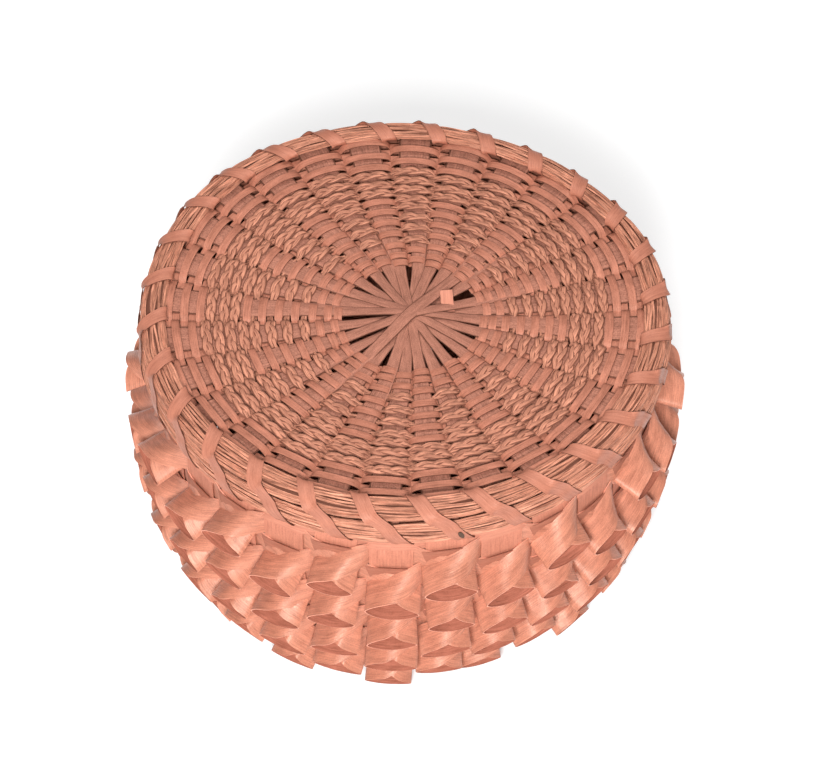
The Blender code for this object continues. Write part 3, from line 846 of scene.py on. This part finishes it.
braid_grass = fibre_material(
    "braid_grass", (0.75, 0.321, 0.205), (0.25, 0.092, 0.057),
    width=0.0003, fibre=0.85, blotch=0.4, speckle=0.1, smooth=0.42, rough=0.6, depth=0.0002,
)
# Painted shade: the braid's strands are dark on their upper flanks and all along their undersides. This draws
# a dark outline round every lobe of the braid.
braid_painted_shade = fibre_material(
    "braid_painted_shade", (0.30, 0.11, 0.068), (0.10, 0.035, 0.022),
    width=0.0003, fibre=0.6, blotch=0.3, speckle=0.1, smooth=0.6, rough=0.8, depth=0.0001,
)
braid_shaded_sides = ((braid_painted_shade, 0, 1), (braid_painted_shade, 3, 8))


def from_spoke(step, parity):
    """Steps from the nearest spoke of a parity, up to 1."""
    return np.abs((np.asarray(step) - parity + 1) % 2 - 1)


def weave_height(step, parity, rise):
    """Height of a row over the spokes' middle: a bow over each spoke of its parity, which
    drops steeply between spokes, and a level run under the others."""
    place = np.minimum(from_spoke(step, parity) / BOW_REACH, 1)
    bow = 1 - BOW_ROUND * place ** 2 - (1 - BOW_ROUND) * place ** BOW_STEEPNESS
    return (rise + UNDER_DEPTH) * bow - UNDER_DEPTH


def beside_gap(step, parity):
    """1 along a row's bow, and 0 from the middle of the gap on, under the next spoke."""
    return np.clip((0.5 - from_spoke(step, parity)) / GAP_SHARE, 0, 1)


def ash_ring(share, parity, rise):
    """One ring of flat ash, with a bow of its own height over each spoke."""
    steps = np.linspace(0, UPRIGHTS, UPRIGHTS * RING_STATIONS, endpoint=False) + parity
    radius = share * LID_ROW_SCALE
    angle = spoke_angle(steps)
    bows = np.array([rng.uniform(*BOW_SHARES) for _ in range(UPRIGHTS + 2)])
    lift = weave_height(steps, parity, rise * bows[np.round(steps).astype(int)])
    width = ASH_ROW_NARROW + (ASH_ROW_WIDTH - ASH_ROW_NARROW) * beside_gap(steps, parity)
    slope = 2 * LID_DISH * radius / lid_edge ** 2
    middles = off_centre(polar(angle, radius, lid_height(radius) + lift))
    halves = polar(angle, width / 2, slope * width / 2)
    return ribbon(middles, halves, ASH_ROW_THICKNESS, closed=True, places=(-1, 0, 1))


def strand_section(middles, wide_half, tall_half, sides, roll=0):
    """A closed round strand along its middles, with its section set by its two half widths and
    turned by its roll."""
    angle = np.arctan2(middles[:, 1], middles[:, 0])
    corners = np.linspace(0, TAU, sides + 1)
    around = corners[None] + np.broadcast_to(roll, angle.shape)[:, None]
    outward = polar(angle, 1, 0)
    wide = np.broadcast_to(wide_half, angle.shape)[:, None] * np.cos(around)
    tall = np.broadcast_to(tall_half, angle.shape)[:, None] * np.sin(around)
    points = middles[:, None] + wide[:, :, None] * outward[:, None]
    points = points + tall[:, :, None] * np.array((0, 0, 1))
    lengths = laid_lengths(middles, True)
    grain = rng.uniform(0, WOOD_REACH) + corners * np.mean(wide_half)
    laid = np.stack(np.broadcast_arrays(lengths[:, None], grain[None]), axis=-1)
    return with_seam(points, True), laid


def braid_ring(share, parity, rise):
    """The three strands of one ring of sweetgrass braid."""
    radius = share * LID_ROW_SCALE
    cycles = round(TAU * radius / BRAID_CYCLE)
    count = int(TAU * radius / BRAID_STATION)
    turn = np.linspace(0, TAU, count, endpoint=False)
    steps = turn * UPRIGHTS / TAU
    start = rng.uniform(0, TAU)
    runs = []
    for strand in range(3):
        phase = turn * cycles + TAU * strand / 3 + start
        spread = BRAID_SQUEEZE + (1 - BRAID_SQUEEZE) * beside_gap(steps, parity)
        side_way = BRAID_SWAY * np.sin(phase) * spread
        height = lid_height(radius) + weave_height(steps, parity, rise) + BRAID_REST
        height = height + BRAID_WEAVE * np.sin(2 * phase)
        middles = off_centre(polar(spoke_angle(steps), radius + side_way, height))
        wide, tall = BRAID_WIDE * spread, BRAID_TALL * spread
        runs.append(strand_section(middles, wide, tall, BRAID_SIDES))
    return runs


# Each node's rows: the parity of the spokes that they pass over, and for each ring its radius as a
# share of the rows' scale, and the rise of its bows in millimetres.
LID_ROWS = (
    ("lid_outer_weaver_a", 1, "ash", ((0.951, 2.6), (0.887, 2.3), (0.824, 1.9))),
    ("lid_outer_weaver_b", 0, "ash", ((0.921, 2.5), (0.856, 2.1))),
    ("lid_braid_weaver_a", 1, "braid", ((0.781, 1.5), (0.729, 1.4), (0.685, 1.3))),
    ("lid_braid_weaver_b", 0, "braid", (
        (0.803, 1.5), (0.753, 1.4), (0.705, 1.4), (0.653, 1.3),
        (0.610, 1.2), (0.549, 1.2), (0.489, 1.1), (0.424, 1.0),
    )),
    ("lid_inner_weaver_a", 1, "ash", (
        (0.637, 1.5), (0.580, 1.4), (0.518, 1.3), (0.456, 1.2), (0.391, 1.1), (0.334, 1.0), (0.295, 0.9),
    )),
    ("lid_inner_weaver_b", 0, "ash", ((0.366, 1.1), (0.310, 0.9))),
)
for node, parity, kind, rows in LID_ROWS:
    runs = []
    for share, rise in rows:
        if kind == "ash":
            runs.append(ash_ring(share, parity, rise / MM_IN_A_METRE))
        else:
            runs += braid_ring(share, parity, rise / MM_IN_A_METRE)
    name = node.replace("weaver", "rows")
    if kind == "ash":
        # The ash rows' two thin edges take the painted edge shade.
        edges = ((painted_edge_shade, 2, 3), (painted_edge_shade, 5, 6))
        lay(name, runs, "lid", [node], lid_weaver_ash, others=edges)
    else:
        # The braid strands' flanks and undersides take the painted shade.
        lay(name, runs, "lid", [node], braid_grass, others=braid_shaded_sides)

# Inside hoop of the lid. A stiff ash hoop inside the bent-down spokes keeps the edge round. The
# lashing is wound over it too, which is all that holds it.
LID_HOOP_HEIGHT = 0.008
LID_HOOP_THICKNESS = 0.0011
LID_HOOP_CLEARANCE = 0.00035
hoop_inner = lid_radius - LID_SPLINT_THICKNESS / 2 - LID_HOOP_CLEARANCE - LID_HOOP_THICKNESS
run = hoop_run(hoop_inner, LID_HOOP_THICKNESS, lid_foot + LID_FOOT, LID_HOOP_HEIGHT)
lay("lid_inner_ring", [run], "lid", ["lid_inner_hoop"], lid_weaver_ash)

# Bundles of the lid's edge. Fine strands of sweetgrass are laid side by side round the edge, one
# bundle flat on the shoulder and one against the side, and the lashing pulls them tight.
BUNDLE_THICKNESS = 0.0042
SIDE_RISE = 0.0003
SIDE_CLEARANCE = 0.00045
TOP_WIDTH = 0.010
TOP_INSET = 0.0012
TOP_RISE = 0.0024
TOP_TILT = math.radians(10)
STRANDS = 24
STRAND_HALF = 0.00053
STRAND_FLATNESS = 0.8
STRAND_SIZES = (0.75, 1.15)
STRAND_SIDES = 4
STRAND_TURNS = (-4, -3, 3, 4)
STRAND_CROWD = 0.25
STRAND_SUNK = 0.0003
STRAND_RISE = 0.0002
RISE_BEATS = 9
WANDER = 0.05
WANDER_BEATS = (5, 11, 23)
CORE_INSET = 0.0013
CORE_CORNERS = 11
BUNDLE_STATIONS = 392
VALLEY = 0.0010
PINCH = 0.10
PINCH_WIDTH = 0.028
TOP_WRAP_LEAN = 0.18
SIDE_WRAP_LEAN = 0.70
side_height = LID_PLANE_HEIGHT + SIDE_RISE - LID_FOOT
side_radius = lid_radius + LID_SPLINT_THICKNESS / 2 + SIDE_CLEARANCE + BUNDLE_THICKNESS / 2
side_tall = side_height / 2 - VALLEY / 2
side_low = lid_foot + LID_FOOT + side_tall
top_radius = lid_radius - TOP_INSET
top_middle = lid_foot + LID_PLANE_HEIGHT + TOP_RISE


def oval(radius, height, wide, tall, tilt, angle):
    """(radius, height) on a tilted oval, at an angle from straight out."""
    outward = wide * np.cos(angle)
    upward = tall * np.sin(angle)
    return (
        radius + outward * math.cos(tilt) + upward * math.sin(tilt),
        height + upward * math.cos(tilt) - outward * math.sin(tilt),
    )


def strand_bundle(radius, height, wide, tall, tilt, wrap_lean):
    """Strands laid round an oval core, pinched where each wrap of the lashing crosses."""
    turn = np.linspace(0, TAU, BUNDLE_STATIONS, endpoint=False)
    pitch = TAU / UPRIGHTS
    wrap_place = (turn - LID_FIRST) / pitch - 0.5 - wrap_lean
    off_wrap = np.abs(wrap_place - np.round(wrap_place)) * pitch
    pinch = 1 - PINCH * np.exp(-((off_wrap / PINCH_WIDTH) ** 2))
    core_angle = np.linspace(0, TAU, CORE_CORNERS)
    core_radius, core_height = oval(
        radius, height, (wide - CORE_INSET) * pinch[:, None], (tall - CORE_INSET) * pinch[:, None],
        tilt, core_angle[None],
    )
    core = polar(turn[:, None], core_radius, core_height)
    laid = np.zeros((BUNDLE_STATIONS + 1, CORE_CORNERS, 2))
    runs = [(with_seam(core, True), laid)]
    for strand in range(STRANDS):
        phases = [rng.uniform(0, TAU) for _ in WANDER_BEATS]
        wander = sum(
            WANDER * np.sin(turn * beats + phase)
            for beats, phase in zip(WANDER_BEATS, phases)
        )
        in_out = STRAND_RISE * np.sin(turn * RISE_BEATS + phases[0]) * rng.choice((-1, 1))
        in_out = in_out - rng.uniform(0, STRAND_SUNK)
        angle = TAU * (strand + rng.uniform(-STRAND_CROWD, STRAND_CROWD)) / STRANDS + wander
        inset = STRAND_HALF - in_out
        place, rise = oval(radius, height, (wide - inset) * pinch, (tall - inset) * pinch, tilt, angle)
        middles = polar(turn, place, rise)
        size = STRAND_HALF * rng.uniform(*STRAND_SIZES)
        roll = rng.uniform(0, TAU) + rng.choice(STRAND_TURNS) * turn
        runs.append(strand_section(middles, size, size * STRAND_FLATNESS, STRAND_SIDES, roll))
    return runs


top_runs = strand_bundle(
    top_radius, top_middle, TOP_WIDTH / 2, BUNDLE_THICKNESS / 2, TOP_TILT, TOP_WRAP_LEAN,
)
side_runs = strand_bundle(side_radius, side_low, BUNDLE_THICKNESS / 2, side_tall, 0, SIDE_WRAP_LEAN)
sweetgrass = fibre_material(
    "sweetgrass", (0.83, 0.354, 0.226), (0.17, 0.06, 0.036),
    width=0.0005, fibre=0.85, blotch=0.45, speckle=0.1, smooth=0.4, rough=0.6, depth=0.0002,
)
# Painted shade: the core under each bundle's strands is nearly black, so that the gaps between the strands
# show dark.
bundle_core = fibre_material(
    "bundle_core", (0.22, 0.08, 0.05), (0.08, 0.028, 0.018),
    width=0.0005, fibre=0.6, blotch=0.3, speckle=0.1, smooth=0.6, rough=0.8, depth=0.0001,
)
# Painted light: the side bundle is a lighter copy of the sweetgrass, for the light that falls on it from the
# front.
lit_side_grass = fibre_material(
    "lit_side_grass", (0.93, 0.42, 0.274), (0.24, 0.085, 0.052),
    width=0.0005, fibre=0.8, blotch=0.45, speckle=0.1, smooth=0.4, rough=0.6, depth=0.0002,
)
for place, runs, finish in (("top", top_runs, sweetgrass), ("side", side_runs, lit_side_grass)):
    node = f"lid_{place}_bundle"
    # The core carries the painted shade seen between the strands.
    lay(f"{place}_core", runs[:1], "lid", [node], bundle_core)
    lay(f"{place}_strands", runs[1:], "lid", [node], finish, crease=40)

# Lashing of the lid's edge. One flat splint is wound round the edge, once in each gap between
# spokes, over both bundles and under the rim, and leans as it goes.
LID_LASH_WIDTH = 0.0057
LASH_GROW = 0.0001
LASH_HOLE_INSET = 0.0044
LASH_TURN = 0.0008
LASH_EASE = 0.0006
LID_LASH_SMOOTHNESS = 3
lid_lashing_ash = fibre_material(
    "lid_lashing_ash", (0.585, 0.228, 0.147), (0.33, 0.115, 0.072),
    width=0.0004, fibre=0.5, blotch=0.35, speckle=0.2, smooth=0.36, rough=0.55, depth=0.0001,
)

# Where the lashing lies on the top and the side bundle: degrees up from straight out, and how far
# it has leaned, in pitches.
TOP_WRAP = (
    (195, 0.0), (175, 0.02), (150, 0.05), (120, 0.11), (90, TOP_WRAP_LEAN), (60, 0.25), (30, 0.32), (5, 0.40),
)
SIDE_WRAP = ((45, 0.58), (20, 0.64), (0, SIDE_WRAP_LEAN), (-20, 0.76), (-50, 0.84))
half = BUNDLE_THICKNESS / 2 + LASH_GROW
lid_wrap = []
for bundle, places in (
    ((top_radius, top_middle, TOP_WIDTH / 2 + LASH_GROW, half, TOP_TILT), TOP_WRAP),
    ((side_radius, side_low, half, side_tall + LASH_GROW, 0), SIDE_WRAP),
):
    for degrees, lean in places:
        lid_wrap.append((lean, *oval(*bundle, math.radians(degrees))))
below = lid_foot + LID_FOOT - LASH_CLEARANCE - LASH_THICKNESS / 2
inside = hoop_inner - LASH_CLEARANCE - LASH_THICKNESS / 2
hole = lid_radius - LASH_HOLE_INSET
lid_wrap += [
    (0.90, side_radius, below),
    (0.93, inside + LASH_EASE, below),
    (0.95, inside, below + LASH_TURN),
    (0.98, inside, lid_foot + LID_FOOT + LID_HOOP_HEIGHT),
    (0.995, hole + LASH_TURN, lid_height(hole) - LASH_CLEARANCE),
]
run = wound(lid_wrap, spoke_angle, LID_LASH_WIDTH, LID_LASH_SMOOTHNESS, LASH_THICKNESS)
# The lashing's two thin edges take the painted edge shade.
edges = ((painted_edge_shade, 4, 5), (painted_edge_shade, 9, 10))
lay("lid_binding", [run], "lid", ["lid_lashing"], lid_lashing_ash, others=edges)

# Cut end at the lid's centre. The narrow splint that starts the weaving was cut off beside the
# pile, and its end stands up a little between two spokes.
END_PLACES = (
    (0.0166, 0.0040, -0.0004), (0.0161, 0.0068, 0.0009), (0.0159, 0.0096, 0.0019), (0.0157, 0.0124, 0.0024),
)
END_HALF = (0.0023, 0.0004, 0.0002)
END_RADIUS = 0.018
END_RISE = 0.0010
middles = np.array(END_PLACES)
middles[:, 2] += lid_height(END_RADIUS) + END_RISE
run = ribbon(middles, np.tile(END_HALF, (len(END_PLACES), 1)), ASH_ROW_THICKNESS)
lay("start_end", [run], "lid", [], plain_ash)

# Knot in the lashing. A small dark knot of the wood shows on one wrap at the front, a thin oval
# that bulges a little from the splint.
KNOT_ANGLE = math.radians(-78.6)
KNOT_RADIUS = 0.1008
KNOT_HEIGHT = 0.1068
KNOT_HALF_HEIGHT = 0.0018
KNOT_HALF_WIDTH = 0.0009
KNOT_LEAN = 0.008
KNOT_BULGE = 0.0002
KNOT_REACH = 0.98
KNOT_STATIONS = 11
knot_wood = fibre_material(
    "knot_wood", (0.13, 0.075, 0.05), (0.05, 0.028, 0.02),
    width=0.0003, fibre=0.3, blotch=0.3, speckle=0.4, smooth=0.6, rough=0.8, depth=0.0001,
)
along = np.linspace(-KNOT_REACH, KNOT_REACH, KNOT_STATIONS)
middles = polar(KNOT_ANGLE - KNOT_LEAN * along, KNOT_RADIUS, KNOT_HEIGHT + KNOT_HALF_HEIGHT * along)
halves = polar(KNOT_ANGLE + math.pi / 2, KNOT_HALF_WIDTH * np.sqrt(1 - along ** 2), 0)
run = ribbon(middles, halves, LASH_THICKNESS, cup=KNOT_BULGE)
lay("lashing_knot", [run], "lid", [], knot_wood)

# Floor, light and camera. A white floor that runs into a white background, soft light from above
# and the front, and a long lens that looks down at about 49 degrees.
FLOOR_HALF = 6
FLOOR_CONTACT = 0.072
FLOOR_GLOW = 0.35
GLOW_STEEPNESS = 60
FAR_FLOOR = 0.5
SKY_LIGHT = 0.22
LAMP_TARGET = Vector((0, 0, 0.08))
CAMERA_PLACE = Vector((0, -0.7841, 1.0211))
CAMERA_TARGET = Vector((0.00376, -0.0196, 0.0958))
CAMERA_LENS = 138.4
CAMERA_SENSOR = 36
floor_mesh = bpy.data.meshes.new("floor")
bm = bmesh.new()
bmesh.ops.create_grid(bm, x_segments=1, y_segments=1, size=FLOOR_HALF)
bm.to_mesh(floor_mesh)
bm.free()
floor = bpy.data.objects.new("floor", floor_mesh)
bpy.context.collection.objects.link(floor)
floor_white = bpy.data.materials.new("floor_white")
floor_white.use_nodes = True
tree = floor_white.node_tree
shader = tree.nodes["Principled BSDF"]
for socket, value in (
    ("Base Color", (0.82, 0.82, 0.82, 1)),
    ("Roughness", 0.9),
    ("Specular IOR Level", 0.1),
    ("Emission Color", (1, 1, 1, 1)),
):
    shader.inputs[socket].default_value = value
rays = tree.nodes.new("ShaderNodeLightPath")
seen = maths(tree, "MAXIMUM", rays.outputs["Is Camera Ray"], rays.outputs["Is Glossy Ray"])
here = tree.nodes.new("ShaderNodeTexCoord")
away = tree.nodes.new("ShaderNodeVectorMath")
away.operation = "LENGTH"
tree.links.new(here.outputs["Object"], away.inputs[0])
# The floor glows only from FLOOR_CONTACT out from the axis. Round the basket's foot it stays darker under any
# light, which is painted shade there, on top of the basket's real shadow.
beyond = maths(tree, "SUBTRACT", away.outputs["Value"], FLOOR_CONTACT)
beyond = maths(tree, "MULTIPLY", beyond, GLOW_STEEPNESS, clamp=True)
glow = maths(tree, "MULTIPLY", maths(tree, "MULTIPLY", seen, beyond), FLOOR_GLOW)
far = maths(tree, "SUBTRACT", away.outputs["Value"], FAR_FLOOR, clamp=True)
far = maths(tree, "MULTIPLY", far, rays.outputs["Is Camera Ray"])
far = maths(tree, "MULTIPLY", far, 1 - FLOOR_GLOW)
tree.links.new(maths(tree, "ADD", glow, far), shader.inputs["Emission Strength"])
floor_mesh.materials.append(floor_white)

world = bpy.data.worlds.new("studio")
bpy.context.scene.world = world
world.use_nodes = True
tree = world.node_tree
sky = tree.nodes["Background"]
sky.inputs["Color"].default_value = (1, 1, 1, 1)
rays = tree.nodes.new("ShaderNodeLightPath")
seen = maths(tree, "MULTIPLY", rays.outputs["Is Camera Ray"], 1 - SKY_LIGHT)
tree.links.new(maths(tree, "ADD", seen, SKY_LIGHT), sky.inputs["Strength"])


def lamp(name, place, size, power):
    """A square soft box that faces the basket."""
    light = bpy.data.lights.new(name, "AREA")
    light.size = size
    light.energy = power
    box = bpy.data.objects.new(name, light)
    box.location = place
    box.rotation_euler = (LAMP_TARGET - Vector(place)).to_track_quat("-Z", "Y").to_euler()
    bpy.context.collection.objects.link(box)


lamp("key", place=(-0.08, -1.0, 0.95), size=0.3, power=21.6)
lamp("top", place=(0.1, 0.3, 1.2), size=0.5, power=6)

camera = bpy.data.objects.new("camera", bpy.data.cameras.new("camera"))
camera.data.lens = CAMERA_LENS
camera.data.sensor_width = CAMERA_SENSOR
camera.location = CAMERA_PLACE
camera.rotation_euler = (CAMERA_TARGET - CAMERA_PLACE).to_track_quat("-Z", "Y").to_euler()
bpy.context.collection.objects.link(camera)
bpy.context.scene.camera = camera
bpy.context.scene.view_settings.view_transform = "Standard"
